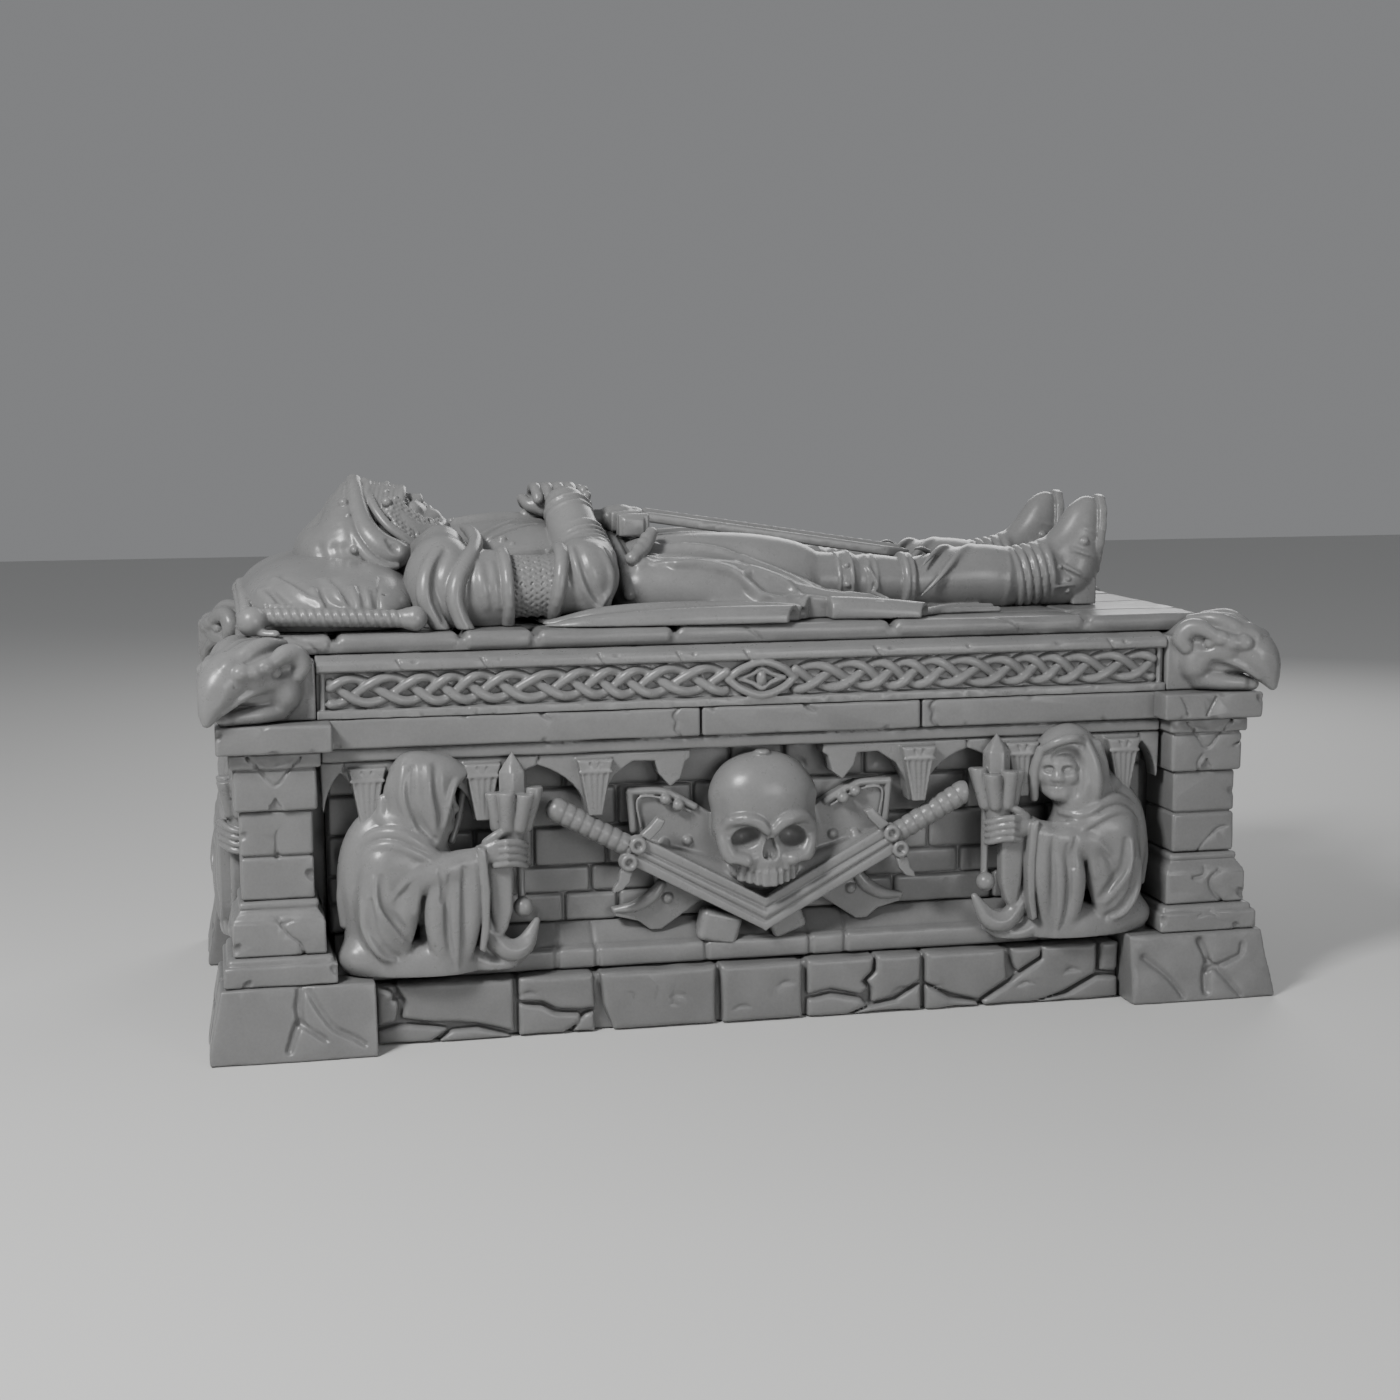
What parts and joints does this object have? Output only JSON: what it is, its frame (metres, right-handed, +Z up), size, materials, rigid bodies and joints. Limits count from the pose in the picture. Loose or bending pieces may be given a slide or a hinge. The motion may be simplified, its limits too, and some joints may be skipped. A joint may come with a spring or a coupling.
{
  "type": "effigy tomb",
  "caption": "Grey stone chest tomb with a hooded knight lying on top, kneeling hooded mourners, skull and crossed swords, knotwork edge and eagle heads on the corner piers.",
  "frame": {"origin": "middle of the underside, on the ground", "axes": "+X along the tomb from the head end to the foot end, +Y from the front to the back, +Z up"},
  "size_m": [2.4, 1.15, 1.2112],
  "materials": {
    "masonry_stone": "satin",
    "carved_stone": "satin",
    "rubble_stone": "satin"
  },
  "bodies": {
    "root": {"arcade_back": "masonry_stone", "arcade_foot": "masonry_stone", "arcade_front_foot": "masonry_stone", "arcade_front_head": "masonry_stone", "arcade_head": "masonry_stone", "architrave_back": "masonry_stone", "architrave_foot": "masonry_stone", "architrave_front": "masonry_stone", "architrave_head": "masonry_stone", "corner_stone_foot_back": "rubble_stone", "corner_stone_foot_front": "rubble_stone", "corner_stone_head_back": "rubble_stone", "corner_stone_head_front": "rubble_stone", "eagle_foot_back": "carved_stone", "eagle_foot_front": "carved_stone", "eagle_head_back": "carved_stone", "eagle_head_front": "carved_stone", "flagstone_bed": "masonry_stone", "knight_effigy": "carved_stone", "ledge": "masonry_stone", "lid_slab": "masonry_stone", "mourner_back_foot": "carved_stone", "mourner_back_head": "carved_stone", "mourner_foot": "carved_stone", "mourner_front_foot": "carved_stone", "mourner_front_head": "carved_stone", "mourner_head": "carved_stone", "pier_base_foot_back": "masonry_stone", "pier_base_foot_front": "masonry_stone", "pier_base_head_back": "masonry_stone", "pier_base_head_front": "masonry_stone", "pier_cap_foot_back": "masonry_stone", "pier_cap_foot_front": "masonry_stone", "pier_cap_head_back": "masonry_stone", "pier_cap_head_front": "masonry_stone", "pier_capital_foot_back": "masonry_stone", "pier_capital_foot_front": "masonry_stone", "pier_capital_head_back": "masonry_stone", "pier_capital_head_front": "masonry_stone", "pier_plinth_foot_back": "masonry_stone", "pier_plinth_foot_front": "masonry_stone", "pier_plinth_head_back": "masonry_stone", "pier_plinth_head_front": "masonry_stone", "pier_shaft_foot_back": "masonry_stone", "pier_shaft_foot_front": "masonry_stone", "pier_shaft_head_back": "masonry_stone", "pier_shaft_head_front": "masonry_stone", "plinth_back": "rubble_stone", "plinth_foot": "rubble_stone", "plinth_front": "rubble_stone", "plinth_head": "rubble_stone", "skull_and_swords": "carved_stone", "wall_back": "masonry_stone", "wall_foot": "masonry_stone", "wall_front": "masonry_stone", "wall_head": "masonry_stone"}
  },
  "joints": []
}
